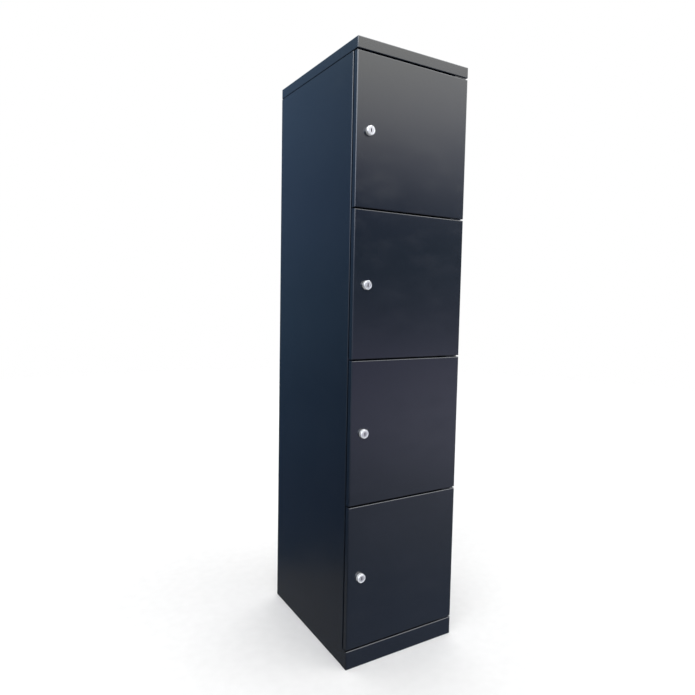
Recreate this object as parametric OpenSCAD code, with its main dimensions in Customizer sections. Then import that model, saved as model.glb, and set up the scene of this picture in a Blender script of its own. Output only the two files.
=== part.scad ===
// Steel locker: one column of four compartments behind full-overlay doors.
// It stands on the floor at z = 0 with its footprint centred on the origin.
// The doors face -Y, their hinges are on the +X side and their locks on the -X side.
// Doors and compartments are counted from the top, 1 to 4.

/* [Overall size] */
// Width across the front
cabinet_w = 380; // [300:1:600]
// Depth from the door faces to the back
cabinet_d = 500; // [350:1:650]
// Height from the floor to the top of the cap
cabinet_h = 1750; // [1400:1:2200]

/* [Sheet metal] */
// Thickness of the carcass sheet
sheet_t = 1; // [0.6:0.1:1.2]
// Outside radius of the carcass bends
bend_r = 1.8; // [1.4:0.1:4]
// Thickness of the door sheet
door_t = 1.2; // [0.8:0.1:1.6]
// Outside radius of the bends round a door's face
door_bend_r = 3; // [2:0.1:5]

/* [Cap and plinth] */
// Height of the cap
cap_h = 31.5; // [20:0.5:60]
// Outside radius of the cap's welded corners
cap_corner_r = 2; // [0.5:0.1:4]
// Shadow gap between the cap's skirt and the side panels
cap_seam = 2; // [1:0.1:4]
// Width of the cap's lower returns at the sides and back
cap_return = 20; // [15:0.5:35]
// Height of the kick plinth
plinth_h = 54; // [45:0.5:120]

/* [Carcass frame] */
// Width of the front stile and of the rear return of a side panel
stile_w = 25; // [20:0.5:32]
// Depth of the hem folded back from a stile's inner edge
hem_d = 16; // [14:0.5:24]
// Height of the lip and flanges round a shelf
shelf_lip = 26; // [16:0.5:35]

/* [Doors] */
// Gap between neighbouring doors, and above and below them
door_gap = 4; // [3.3:0.1:6]
// Depth of a door from its face to its rear lip
door_d = 18; // [15:0.5:24]
// Width of the lip folded round the back of a door
door_lip = 16; // [12:0.5:22]
// How much taller the bottom door is than the others
bottom_door_extra = 6.5; // [0:0.5:30]
// Width of the stiffening channel's crown
stiffener_w = 44; // [25:1:80]
// Depth of the stiffening channel
stiffener_d = 12; // [8:0.5:13]

/* [Hinges] */
// Distance of the pivot from the door's hinge edge
pivot_inset = 11; // [9:0.5:14]
// Diameter of the pivot pin
pin_d = 6; // [5:0.1:7.5]
// Length of pin that enters a door's bush, from the hinge plate's face
pin_reach = 9; // [7:0.5:14]
// Thickness of the hinge plate
plate_t = 2; // [1.5:0.1:2.4]
// Width of the hinge plate
plate_w = 42; // [34:1:60]
// How far the hinge plate reaches behind the stile
plate_tail = 31; // [28:1:50]
// Radius of the plate's nose round the pin
nose_r = 6; // [5:0.1:7]

/* [Locks] */
// Distance of the lock from the door's free edge
lock_inset = 41; // [36:0.5:60]
// Diameter of the lock's head
head_d = 25; // [21:0.5:32]
// How far the lock's head stands out from the door
head_h = 10; // [7:0.5:18]
// Diameter of the threaded barrel
barrel_d = 19; // [17:0.1:20]
// Distance across the barrel's two flats
barrel_flat = 16; // [15.5:0.1:16.8]
// Diameter of the turning plug
plug_d = 14; // [12:0.1:14.5]
// Width of the cam
cam_w = 16; // [13:0.5:18]
// Thickness of the cam
cam_t = 2; // [1.5:0.1:3]
// How far the cam reaches behind the stile when locked
cam_grip = 10; // [6:0.5:14]

/* [Fixings] */
// Diameter of the wall-fixing holes in the back
wall_hole_d = 9; // [6:0.5:12]
// Distance between the wall-fixing holes across the back
wall_hole_dx = 240; // [120:1:250]
// Height of the lower wall-fixing holes
wall_hole_low = 110; // [90:1:200]
// Distance of the upper wall-fixing holes below the top of the cap
wall_hole_top = 90; // [70:1:200]
// Diameter of a door buffer
buffer_d = 8; // [6:0.5:10]
// Distance of the buffers from the top and bottom of their door
buffer_end = 34; // [25:1:80]

/* [Hidden] */
$fn = 48;

tiers = 4;            // compartments, one door each
over = 1;             // how far a cut runs past the face that it opens
fit = 0.05;           // radial clearance of a running or slip fit
slot_room = 0.5;      // clearance round a piece that passes through a slot
swing_room = 0.5;     // least gap between a swinging door's corner and the stile
washer_room = 0.2;    // end play of a door on its washers
square = [0, 0, 0, 0];

// Planes and heights
front_y = -cabinet_d / 2;
pivot_setback = door_d / 2;
door_back_gap = ceil(norm([pivot_inset, pivot_setback]) - pivot_setback + swing_room);
nose_d = door_d + door_back_gap;          // from the door faces to the stiles
stile_y = front_y + nose_d;
back_y = cabinet_d / 2 - 2 * sheet_t;     // front face of the back panel
cap_z = cabinet_h - cap_h;
side_h = cap_z - cap_seam;
inner_w = cabinet_w - 2 * sheet_t;
fold_r = bend_r - sheet_t;                // inside radius of a carcass bend

// Doors
door_zone = cap_z - plinth_h - (tiers + 1) * door_gap;
upper_door_h = (door_zone - bottom_door_extra) / tiers;
bottom_door_h = upper_door_h + bottom_door_extra;
function door_h(i) = i == tiers ? bottom_door_h : upper_door_h;
function door_z(i) = plinth_h + door_gap
    + (i == tiers ? 0 : bottom_door_h + door_gap + (tiers - 1 - i) * (upper_door_h + door_gap));

// Hinge plates and shelves, level 0 under the cap to level 4 on the plinth
function plate_z(k) = k == 0 ? cap_z - sheet_t - plate_t
    : k == tiers ? plinth_h + (door_gap - plate_t) / 2
    : door_z(k) - (door_gap + plate_t) / 2;
function shelf_top(k) = plate_z(k) + plate_t + sheet_t;
pivot_x = cabinet_w / 2 - pivot_inset;
pivot_y = front_y + pivot_setback;
plate_x1 = pivot_x + nose_r;
plate_x0 = plate_x1 - plate_w;
plate_y0 = pivot_y - nose_r;
plate_y1 = stile_y + plate_tail;

// Hinge details
neck_r = 4.5;                                  // bush where it passes through the door
bush_r = pivot_setback - door_t - 1.3;         // bush inside the door
bush_h = pin_reach - (door_gap - plate_t) / 2 - door_t + 1.5;
washer_r = nose_r - 0.5;
rivet_r = 2.4;
rivet_head_r = 4;
rivet_head_h = 1.4;
head_room = rivet_head_r + slot_room;
rivet_edge = 9;                                // rivet centre to the plate's edge
rivet_xs = [plate_x0 + rivet_edge, plate_x1 - rivet_edge];
rivet_y = plate_y1 - 8;

// Cap screws
screw_r = 2;
screw_head_r = 4;
screw_head_h = 2.4;
screw_xs = [-(cabinet_w / 2 - cap_return / 2), cabinet_w / 2 - cap_return / 2];
screw_ys = [-cabinet_d * 0.36, cabinet_d * 0.36];
cap_front_return = nose_d + 12;

// Door buffers on the left stile
buffer_x = -cabinet_w / 2 + 9.5;
buffer_stem_r = 2.2;
buffer_barb_r = 3;
buffer_h = door_back_gap - 0.3;

// Lock, from the door's face inwards
lock_x = -cabinet_w / 2 + lock_inset;
function lock_z(i) = door_z(i) + door_h(i) / 2;
head_r = head_d / 2;
barrel_r = barrel_d / 2;
plug_r = plug_d / 2;
shoulder_r = plug_r + 1;
shoulder_h = 2;
plug_proud = 0.4;
rim_chamfer = 1.2;
ring_depth = 0.8;                              // groove between the plug and the rim
ring_in = shoulder_r + 1.1;
ring_out = head_r - 1.7;
key_w = 3;
key_h = 9.5;
key_depth = 12;
barrel_len = nose_d - 1;
plug_len = nose_d + sheet_t + 0.8;             // the cam clears the stile by 0.8
drive_w = 7;
stud_r = 3;
cam_nut_h = 5;
cam_nut_flat = 10;
lock_nut_h = 4;
lock_nut_flat = 24;
cam_reach = lock_inset - stile_w + cam_grip;

paint = [0.17, 0.18, 0.21];
zinc = [0.66, 0.67, 0.68];
chrome = [0.82, 0.83, 0.85];
nylon = [0.88, 0.88, 0.84];
rubber = [0.06, 0.06, 0.06];

// ---------- building blocks ----------

// The metal that a bend takes off a sharp edge. The edge runs up the Z axis, the block lies towards +X +Y.
module edge_loss(len, r) {
    difference() {
        translate([-over, -over, -over]) cube([r + over, r + over, len + 2 * over]);
        translate([r, r, -2 * over]) cylinder(r = r, h = len + 4 * over);
    }
}

// The four edges of an a by b block along Z, in turn from the origin: each has its own radius.
module edge_losses(a, b, len, r) {
    for (i = [0:3])
        if (r[i] > 0)
            translate([i == 1 || i == 2 ? a : 0, i >= 2 ? b : 0, 0])
                rotate([0, 0, 90 * i]) edge_loss(len, r[i]);
}

// A block with rounded edges. rz: front left, front right, back right, back left.
// rx: front bottom, back bottom, back top, front top. ry: bottom left, top left, top right, bottom right.
module block(size, rx = square, ry = square, rz = square) {
    difference() {
        cube(size);
        edge_losses(size.x, size.y, size.z, rz);
        rotate(a = 120, v = [1, 1, 1]) edge_losses(size.y, size.z, size.x, rx);
        rotate(a = 240, v = [1, 1, 1]) edge_losses(size.z, size.x, size.y, ry);
    }
}

function inner_radii(r, t) = [for (v = r) max(v - t, 0)];

// A folded sheet: a block with its inside taken out. lo and hi say which of its X, Y and Z faces have a wall.
module folded(size, t, rx = square, ry = square, rz = square, lo = [1, 1, 1], hi = [1, 1, 1]) {
    start = [for (i = [0:2]) lo[i] == 1 ? t : -over];
    stop = [for (i = [0:2]) hi[i] == 1 ? size[i] - t : size[i] + over];
    difference() {
        block(size, rx, ry, rz);
        translate(start)
            block(stop - start, inner_radii(rx, t), inner_radii(ry, t), inner_radii(rz, t));
    }
}

// A box given by its two opposite corners
module span(a, b) {
    translate(a) cube(b - a);
}

// ---------- carcass ----------

// A side panel as the left one: web, front stile with its hem, rear return and floor flange
module side_panel() {
    difference() {
        translate([-cabinet_w / 2, stile_y, 0])
            folded([stile_w, cabinet_d / 2 - stile_y, side_h], sheet_t,
                ry = [bend_r, 0, 0, 0], rz = [bend_r, bend_r, 0, bend_r], hi = [1, 1, 0]);
        span([-cabinet_w / 2 + stile_w - bend_r, stile_y + hem_d, sheet_t],
            [-cabinet_w / 2 + stile_w + over, cabinet_d / 2 - sheet_t, side_h + over]);
    }
}

module side_panel_left() {
    color(paint) difference() {
        side_panel();
        for (i = [1:tiers]) {
            // slot in the hem that the cam turns through
            span([lock_x - cam_reach, stile_y + sheet_t, lock_z(i) - cam_reach - slot_room],
                [lock_x, stile_y + sheet_t + cam_t + 3, lock_z(i) + cam_w / 2 + 2 * slot_room]);
            for (z = buffer_zs(i))
                translate([buffer_x, stile_y - over, z])
                    rotate([-90, 0, 0]) cylinder(r = buffer_stem_r, h = sheet_t + 2 * over);
        }
    }
}

module side_panel_right() {
    color(paint) difference() {
        mirror([1, 0, 0]) side_panel();
        for (k = [0:tiers])
            span([cabinet_w / 2 - stile_w - over, stile_y - over, plate_z(k) - slot_room],
                [plate_x1 + slot_room, stile_y + hem_d + over, plate_z(k) + plate_t + slot_room]);
    }
}

module back_panel() {
    color(paint) difference() {
        span([-inner_w / 2 + fold_r, back_y, sheet_t], [inner_w / 2 - fold_r, back_y + sheet_t, side_h]);
        for (x = [-wall_hole_dx / 2, wall_hole_dx / 2])
            for (z = [wall_hole_low, cabinet_h - wall_hole_top])
                translate([x, back_y - over, z])
                    rotate([-90, 0, 0]) cylinder(d = wall_hole_d, h = sheet_t + 2 * over);
    }
}

module top_cap() {
    color(paint) difference() {
        translate([-cabinet_w / 2, front_y, cap_z])
            folded([cabinet_w, cabinet_d, cap_h], sheet_t,
                rx = [bend_r, bend_r, door_bend_r, door_bend_r],
                ry = [bend_r, door_bend_r, door_bend_r, bend_r],
                rz = [cap_corner_r, cap_corner_r, cap_corner_r, cap_corner_r]);
        span([-cabinet_w / 2 + cap_return, front_y + cap_front_return, cap_z - over],
            [cabinet_w / 2 - cap_return, cabinet_d / 2 - cap_return, cap_z + sheet_t + over]);
        // notch in the right return, clear of the rivet heads under the cap
        span([rivet_xs[0] - head_room, rivet_y - head_room, cap_z - over],
            [rivet_xs[1] + head_room, rivet_y + head_room, cap_z + sheet_t + over]);
        screw_holes(screw_r);
    }
}

// A shelf with a lip or flange on each side, notched round the stiles and slotted for a hinge plate
module shelf_tray(k) {
    notch_x = cabinet_w / 2 - stile_w - slot_room;
    notch_y = stile_y + hem_d + slot_room;
    low_z = shelf_top(k) - shelf_lip;
    difference() {
        translate([-inner_w / 2, stile_y, low_z])
            folded([inner_w, back_y - stile_y, shelf_lip], sheet_t,
                rx = [0, 0, bend_r, bend_r], ry = [0, bend_r, bend_r, 0], lo = [1, 1, 0]);
        span([-inner_w / 2 - over, stile_y - over, low_z - over], [-notch_x, notch_y, shelf_top(k) + over]);
        span([notch_x, stile_y - over, low_z - over], [inner_w / 2 + over, notch_y, shelf_top(k) + over]);
        span([plate_x0 - slot_room, stile_y - over, plate_z(k) - slot_room],
            [notch_x + over, stile_y + bend_r, plate_z(k) + plate_t]);
        // the two back corners are open seams, clear of the bends of the side panels
        for (m = [0, 1])
            mirror([m, 0, 0])
                span([inner_w / 2 - fold_r, back_y - fold_r, low_z - over],
                    [inner_w / 2 + over, back_y + over, shelf_top(k) + over]);
        for (x = rivet_xs)
            translate([x, rivet_y, plate_z(k)]) cylinder(r = rivet_r, h = plate_t + sheet_t + over);
    }
}

module top_panel() {
    color(paint) difference() {
        shelf_tray(0);
        screw_holes(screw_r);
    }
}

module shelf(k) {
    color(paint) shelf_tray(k);
}

module base_panel() {
    color(paint) shelf_tray(tiers);
}

module plinth_front() {
    color(paint) translate([-cabinet_w / 2, front_y, 0])
        folded([cabinet_w, nose_d, plinth_h], sheet_t,
            rx = [bend_r, 0, 0, door_bend_r], rz = [door_bend_r, door_bend_r, 0, 0], hi = [1, 0, 1]);
}

// ---------- hinges ----------

module hinge_plate(k) {
    color(paint) difference() {
        translate([plate_x0, plate_y0, plate_z(k)])
            block([plate_w, plate_y1 - plate_y0, plate_t], rz = [2, nose_r, 2, 2]);
        translate([pivot_x, pivot_y, plate_z(k) - over]) cylinder(d = pin_d, h = plate_t + 2 * over);
        for (x = rivet_xs)
            translate([x, rivet_y, plate_z(k) - over]) cylinder(r = rivet_r, h = plate_t + 2 * over);
    }
}

// A pivot pin of diameter d with its two ends chamfered
module pivot_pin(d, len) {
    tip = 0.8;
    rotate_extrude()
        polygon([[0, 0], [d / 2 - tip, 0], [d / 2, tip], [d / 2, len - tip], [d / 2 - tip, len], [0, len]]);
}

module hinge_pins() {
    color(zinc) for (k = [0:tiers]) {
        below = k == tiers ? 0 : pin_reach;
        above = k == 0 ? 0 : pin_reach;
        translate([pivot_x, pivot_y, plate_z(k) - below]) pivot_pin(pin_d, below + plate_t + above);
    }
}

// A washer of thickness h round a pivot pin
module washer(h) {
    difference() {
        cylinder(r = washer_r, h = h);
        translate([0, 0, -over]) cylinder(d = pin_d + 2 * fit, h = h + 2 * over);
    }
}

// A washer lies on a hinge plate and fills the gap to the door below or above it, less the end play
module hinge_washers() {
    color(nylon) for (k = [0:tiers])
        translate([pivot_x, pivot_y, plate_z(k)]) {
            if (k < tiers)
                mirror([0, 0, 1]) washer(plate_z(k) - door_z(k + 1) - door_h(k + 1) - washer_room);
            if (k > 0)
                translate([0, 0, plate_t]) washer(door_z(k) - plate_z(k) - plate_t - washer_room);
        }
}

// A rivet through sheets that lie between z0 and z1, with a domed head at each end
module rivet(z0, z1) {
    translate([0, 0, z0]) cylinder(r = rivet_r, h = z1 - z0);
    for (end = [[z0, 180], [z1, 0]])
        translate([0, 0, end[0]]) rotate([end[1], 0, 0]) dome(rivet_head_r, rivet_head_h);
}

// A low dome of base radius r and height h, standing on z = 0
module dome(r, h) {
    ball_r = (r * r + h * h) / (2 * h);
    intersection() {
        translate([0, 0, h - ball_r]) sphere(r = ball_r);
        cylinder(r = r, h = h + over);
    }
}

module hinge_rivets() {
    color(zinc) for (k = [0:tiers])
        for (x = rivet_xs)
            translate([x, rivet_y, 0]) rivet(plate_z(k), shelf_top(k));
}

// ---------- small fixings ----------

module screw_holes(r) {
    for (x = screw_xs)
        for (y = screw_ys)
            translate([x, y, cap_z - sheet_t - over]) cylinder(r = r, h = 2 * sheet_t + 2 * over);
}

module cap_screws() {
    color(zinc) for (x = screw_xs)
        for (y = screw_ys)
            translate([x, y, cap_z - sheet_t]) {
                cylinder(r = screw_r, h = 2 * sheet_t + 4);
                difference() {
                    rotate([180, 0, 0]) dome(screw_head_r, screw_head_h);
                    translate([0, 0, -screw_head_h - over])
                        for (a = [0, 90])
                            rotate([0, 0, a]) translate([-2, -0.45, 0]) cube([4, 0.9, 1.4 + over]);
                }
            }
}

function buffer_zs(i) = [door_z(i) + buffer_end, door_z(i) + door_h(i) - buffer_end];

module door_buffers() {
    color(rubber) for (i = [1:tiers])
        for (z = buffer_zs(i))
            translate([buffer_x, stile_y, z]) rotate([90, 0, 0]) {
                rotate_extrude()
                    polygon([[0, 0], [buffer_d / 2, 0], [buffer_d / 2, buffer_h - 1], [buffer_d / 2 - 1, buffer_h],
                        [0, buffer_h]]);
                translate([0, 0, -sheet_t]) cylinder(r = buffer_stem_r, h = sheet_t);
                translate([0, 0, -sheet_t - 2]) cylinder(r1 = buffer_stem_r, r2 = buffer_barb_r, h = 2);
            }
}

// ---------- doors ----------

// The barrel's section with its two flats, grown by room
module barrel_section(len, room) {
    intersection() {
        cylinder(r = barrel_r + room, h = len);
        translate([-barrel_flat / 2 - room, -barrel_d, 0]) cube([barrel_flat + 2 * room, 2 * barrel_d, len]);
    }
}

module door_panel(i) {
    color(paint) translate([-cabinet_w / 2, front_y, door_z(i)]) difference() {
        folded([cabinet_w, door_d, door_h(i)], door_t,
            rx = [door_bend_r, bend_r, bend_r, door_bend_r], rz = [door_bend_r, door_bend_r, bend_r, bend_r]);
        span([door_lip, door_d / 2, door_lip], [cabinet_w - door_lip, door_d + over, door_h(i) - door_lip]);
        translate([cabinet_w - pivot_inset, pivot_setback, -over])
            cylinder(r = neck_r, h = door_h(i) + 2 * over);
        translate([lock_inset, door_t + over, door_h(i) / 2])
            rotate([90, 0, 0]) barrel_section(door_t + 2 * over, fit);
    }
}

// A hat-section channel welded upright behind the skin
module door_stiffener(i) {
    wing = 12;
    t = 0.8;
    end_gap = door_lip + 6;
    len = door_h(i) - 2 * end_gap;
    color(paint) translate([-stiffener_w / 2, front_y + door_t, door_z(i) + end_gap]) {
        folded([stiffener_w, stiffener_d, len], t, rz = [0, 0, 1.6, 1.6], lo = [1, 0, 0], hi = [1, 1, 0]);
        span([-wing, 0, 0], [t, t, len]);
        span([stiffener_w - t, 0, 0], [stiffener_w + wing, t, len]);
    }
}

// The two nylon bushes pressed into the lower and upper flanges of a door
module pivot_bushes(i) {
    color(nylon) translate([pivot_x, pivot_y, door_z(i)]) {
        bush();
        translate([0, 0, door_h(i)]) mirror([0, 0, 1]) bush();
    }
}

module bush() {
    difference() {
        union() {
            cylinder(r = neck_r, h = door_t + over);
            translate([0, 0, door_t]) cylinder(r = bush_r, h = bush_h);
        }
        translate([0, 0, -over]) cylinder(d = pin_d + 2 * fit, h = door_t + bush_h + 2 * over);
    }
}

// ---------- locks ----------

// Lock pieces are drawn with Z out of the door's face and Y up
module at_lock(i) {
    translate([lock_x, front_y, lock_z(i)]) rotate([90, 0, 0]) children();
}

module hexagon(flat, h) {
    cylinder(d = flat / cos(30), h = h, $fn = 6);
}

module lock_housing(i) {
    color(chrome) at_lock(i) difference() {
        union() {
            rotate_extrude()
                polygon([[0, 0], [head_r, 0], [head_r, head_h - rim_chamfer], [head_r - rim_chamfer, head_h],
                    [0, head_h]]);
            translate([0, 0, -barrel_len]) barrel_section(barrel_len + over, 0);
        }
        translate([0, 0, -barrel_len - over]) cylinder(r = plug_r + fit, h = barrel_len + head_h + 2 * over);
        translate([0, 0, head_h - shoulder_h]) cylinder(r = shoulder_r + fit, h = shoulder_h + over);
        translate([0, 0, head_h - ring_depth]) difference() {
            cylinder(r = ring_out, h = ring_depth + over);
            translate([0, 0, -over]) cylinder(r = ring_in, h = ring_depth + 3 * over);
        }
    }
}

module lock_nut(i) {
    color(zinc) at_lock(i) translate([0, 0, -door_t - lock_nut_h]) difference() {
        hexagon(lock_nut_flat, lock_nut_h);
        translate([0, 0, -over]) cylinder(r = barrel_r + fit, h = lock_nut_h + 2 * over);
    }
}

module lock_plug(i) {
    color(chrome) at_lock(i) difference() {
        union() {
            translate([0, 0, -plug_len]) cylinder(r = plug_r, h = plug_len + head_h - shoulder_h);
            translate([0, 0, head_h - shoulder_h + fit]) cylinder(r = shoulder_r, h = shoulder_h + plug_proud - fit);
            translate([0, 0, head_h - shoulder_h - over]) cylinder(r = plug_r, h = shoulder_h);
            translate([-drive_w / 2, -drive_w / 2, -plug_len - cam_t + 0.2]) cube([drive_w, drive_w, cam_t + over]);
            translate([0, 0, -plug_len - cam_t - cam_nut_h - 1]) cylinder(r = stud_r, h = cam_nut_h + cam_t + 2);
        }
        translate([-key_w / 2, -key_h / 2, head_h + plug_proud - key_depth])
            cube([key_w, key_h, key_depth + over]);
    }
}

// The cam hangs straight down when the lock is open and turns towards the stile to lock
module lock_cam(i) {
    hole_w = drive_w + 2 * fit;
    color(zinc) at_lock(i) translate([0, 0, -plug_len - cam_t]) difference() {
        union() {
            cylinder(d = cam_w, h = cam_t);
            translate([-cam_w / 2, -cam_reach + cam_w / 2, 0]) cube([cam_w, cam_reach - cam_w / 2, cam_t]);
            translate([0, -cam_reach + cam_w / 2, 0]) cylinder(d = cam_w, h = cam_t);
        }
        translate([-hole_w / 2, -hole_w / 2, -over]) cube([hole_w, hole_w, cam_t + 2 * over]);
    }
}

module cam_nut(i) {
    color(zinc) at_lock(i) translate([0, 0, -plug_len - cam_t - cam_nut_h]) difference() {
        hexagon(cam_nut_flat, cam_nut_h);
        translate([0, 0, -over]) cylinder(r = stud_r + fit, h = cam_nut_h + 2 * over);
    }
}

// ---------- nodes ----------

side_panel_left();
side_panel_right();
back_panel();
top_cap();
top_panel();
shelf(1);  // shelf_1
shelf(2);  // shelf_2
shelf(3);  // shelf_3
base_panel();
plinth_front();
hinge_plate(0);  // hinge_plate_top
hinge_plate(1);  // hinge_plate_1
hinge_plate(2);  // hinge_plate_2
hinge_plate(3);  // hinge_plate_3
hinge_plate(tiers);  // hinge_plate_base
hinge_pins();
hinge_washers();
hinge_rivets();
cap_screws();
door_buffers();
door_panel(1);  // door_panel_1
door_panel(2);  // door_panel_2
door_panel(3);  // door_panel_3
door_panel(4);  // door_panel_4
door_stiffener(1);  // door_stiffener_1
door_stiffener(2);  // door_stiffener_2
door_stiffener(3);  // door_stiffener_3
door_stiffener(4);  // door_stiffener_4
pivot_bushes(1);  // pivot_bushes_1
pivot_bushes(2);  // pivot_bushes_2
pivot_bushes(3);  // pivot_bushes_3
pivot_bushes(4);  // pivot_bushes_4
lock_housing(1);  // lock_housing_1
lock_housing(2);  // lock_housing_2
lock_housing(3);  // lock_housing_3
lock_housing(4);  // lock_housing_4
lock_nut(1);  // lock_nut_1
lock_nut(2);  // lock_nut_2
lock_nut(3);  // lock_nut_3
lock_nut(4);  // lock_nut_4
lock_plug(1);  // lock_plug_1
lock_plug(2);  // lock_plug_2
lock_plug(3);  // lock_plug_3
lock_plug(4);  // lock_plug_4
lock_cam(1);  // lock_cam_1
lock_cam(2);  // lock_cam_2
lock_cam(3);  // lock_cam_3
lock_cam(4);  // lock_cam_4
cam_nut(1);  // cam_nut_1
cam_nut(2);  // cam_nut_2
cam_nut(3);  // cam_nut_3
cam_nut(4);  // cam_nut_4
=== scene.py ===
"""Steel locker of four compartments: the looks of every piece, built round the design's frame."""

import logging
import math
from dataclasses import dataclass, field
from enum import Enum

import bmesh
import bpy
from mathutils import Matrix, Vector


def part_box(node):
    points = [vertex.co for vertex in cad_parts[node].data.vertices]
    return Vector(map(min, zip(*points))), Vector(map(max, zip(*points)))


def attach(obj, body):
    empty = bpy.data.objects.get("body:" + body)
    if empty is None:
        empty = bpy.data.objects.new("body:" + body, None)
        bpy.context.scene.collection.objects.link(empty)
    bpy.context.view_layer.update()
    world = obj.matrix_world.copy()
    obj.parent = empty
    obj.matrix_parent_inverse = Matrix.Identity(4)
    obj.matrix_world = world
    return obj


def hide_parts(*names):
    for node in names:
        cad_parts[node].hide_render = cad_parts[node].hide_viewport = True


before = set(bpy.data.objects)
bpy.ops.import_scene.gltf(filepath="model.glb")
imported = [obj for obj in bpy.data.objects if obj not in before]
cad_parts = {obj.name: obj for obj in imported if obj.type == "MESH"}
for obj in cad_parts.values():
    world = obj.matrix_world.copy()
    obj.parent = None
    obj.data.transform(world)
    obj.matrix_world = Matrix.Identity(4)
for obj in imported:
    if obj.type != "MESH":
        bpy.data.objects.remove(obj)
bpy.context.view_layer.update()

log = logging.getLogger("locker")

MM = 0.001
TIERS = 4

WELD_DISTANCE = 2e-6
CUT_DISTANCE = 1e-7
FLAT_ANGLE = math.radians(0.4)
CUT_EDGE_ANGLE = math.radians(35)
SHARP_ANGLE = math.radians(44)
TURN_STEPS = 48

Colour = tuple[float, float, float]
Socket = bpy.types.NodeSocket
Tree = bpy.types.NodeTree
Shape = bmesh.types.BMesh


class Slot(Enum):
    """The record's material slots."""

    CARCASS = "carcass_paint"
    DOOR = "door_paint"
    ZINC = "zinc_plate"
    CHROME = "lock_chrome"
    NYLON = "nylon"
    RUBBER = "rubber"


class Look(Enum):
    """Finishes that differ from the usual one of their slot."""

    PLUG = "plug_face"
    WAFER = "wafer_stack"


class Body(Enum):
    """The rigid bodies; a door and a lock also take a number."""

    CARCASS = "carcass"
    DOOR = "door"
    LOCK = "lock"

    def of(self, number: int | None = None) -> str:
        """The frame's name of this body."""
        return self.value if number is None else f"{self.value}_{number}"


# ---------------------------------------------------------------- node trees


class Graph:
    """A node tree with short ways to add nodes and join them."""

    def __init__(self, tree: Tree) -> None:
        """Starts with an empty tree.

        Args:
            tree: The tree to fill.
        """
        self.tree = tree
        tree.nodes.clear()

    def node(self, kind: str, inputs: dict | None = None, **settings: object) -> bpy.types.Node:
        """Adds a node.

        Args:
            kind: The node's type name.
            inputs: Socket name or number to a value, or to the output socket that feeds it.
            **settings: Properties of the node.

        Returns:
            The node.
        """
        made = self.tree.nodes.new(kind)
        made.location = (220 * (len(self.tree.nodes) % 8), -260 * (len(self.tree.nodes) // 8))
        for name, value in settings.items():
            setattr(made, name, value)
        for name, value in (inputs or {}).items():
            if isinstance(value, Socket):
                self.tree.links.new(value, made.inputs[name])
            else:
                made.inputs[name].default_value = value
        return made

    def math(self, operation: str, a: object, b: object = 0.0, clamp: bool = False) -> Socket:
        """A math node's result.

        Args:
            operation: The operation's name.
            a: First value or socket.
            b: Second value or socket.
            clamp: Whether the result stays from 0 to 1.

        Returns:
            The output socket.
        """
        return self.node("ShaderNodeMath", {0: a, 1: b}, operation=operation, use_clamp=clamp).outputs[0]

    def remap(self, value: object, low: float, high: float, to_low: float = 0.0, to_high: float = 1.0,
              smooth: bool = False) -> Socket:
        """A value carried from one range to another, held at the ends.

        Args:
            value: The value's socket.
            low: Start of the range it comes in.
            high: End of that range.
            to_low: Result at the start.
            to_high: Result at the end.
            smooth: Whether it eases in and out.

        Returns:
            The output socket.
        """
        inputs = {"Value": value, "From Min": low, "From Max": high, "To Min": to_low, "To Max": to_high}
        kind = "SMOOTHSTEP" if smooth else "LINEAR"
        return self.node("ShaderNodeMapRange", inputs, interpolation_type=kind).outputs["Result"]

    def mix(self, factor: object, a: object, b: object, blend: str = "MIX") -> Socket:
        """A mix of two colours.

        Args:
            factor: Share of the second.
            a: First colour or socket.
            b: Second colour or socket.
            blend: The way they are mixed.

        Returns:
            The output socket.
        """
        made = self.node("ShaderNodeMix", data_type="RGBA", blend_type=blend)
        for socket, value in ((made.inputs[0], factor), (made.inputs[6], a), (made.inputs[7], b)):
            if isinstance(value, Socket):
                self.tree.links.new(value, socket)
            elif isinstance(value, tuple):
                socket.default_value = (*value[:3], 1.0)
            else:
                socket.default_value = value
        return made.outputs[2]

    def noise(self, vector: Socket, scale: object, detail: float = 2.0, roughness: float = 0.5) -> Socket:
        """A noise texture's value.

        Args:
            vector: The coordinates.
            scale: Waves a metre.
            detail: Octaves.
            roughness: Strength of the finer octaves.

        Returns:
            The value's socket.
        """
        inputs = {"Vector": vector, "Scale": scale, "Detail": detail, "Roughness": roughness}
        return self.node("ShaderNodeTexNoise", inputs).outputs["Fac"]

    def stretched(self, vector: Socket, scale: tuple, turn: tuple = (0, 0, 0)) -> Socket:
        """Coordinates scaled along their axes.

        Args:
            vector: The coordinates.
            scale: The three scales.
            turn: A turn before the scaling, in radians.

        Returns:
            The vector's socket.
        """
        return self.node("ShaderNodeMapping", {"Vector": vector, "Scale": scale, "Rotation": turn}).outputs[0]

    def shares(self, *parts: object) -> Socket:
        """The product of several masks, held from 0 to 1.

        Args:
            *parts: Values or sockets.

        Returns:
            The output socket.
        """
        total = parts[0]
        for part in parts[1:-1]:
            total = self.math("MULTIPLY", total, part)
        return self.math("MULTIPLY", total, parts[-1], clamp=True)

    def send(self, value: Socket, node: bpy.types.Node, name: str) -> None:
        """Feeds a node's named input from a socket."""
        self.tree.links.new(value, node.inputs[name])


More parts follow.
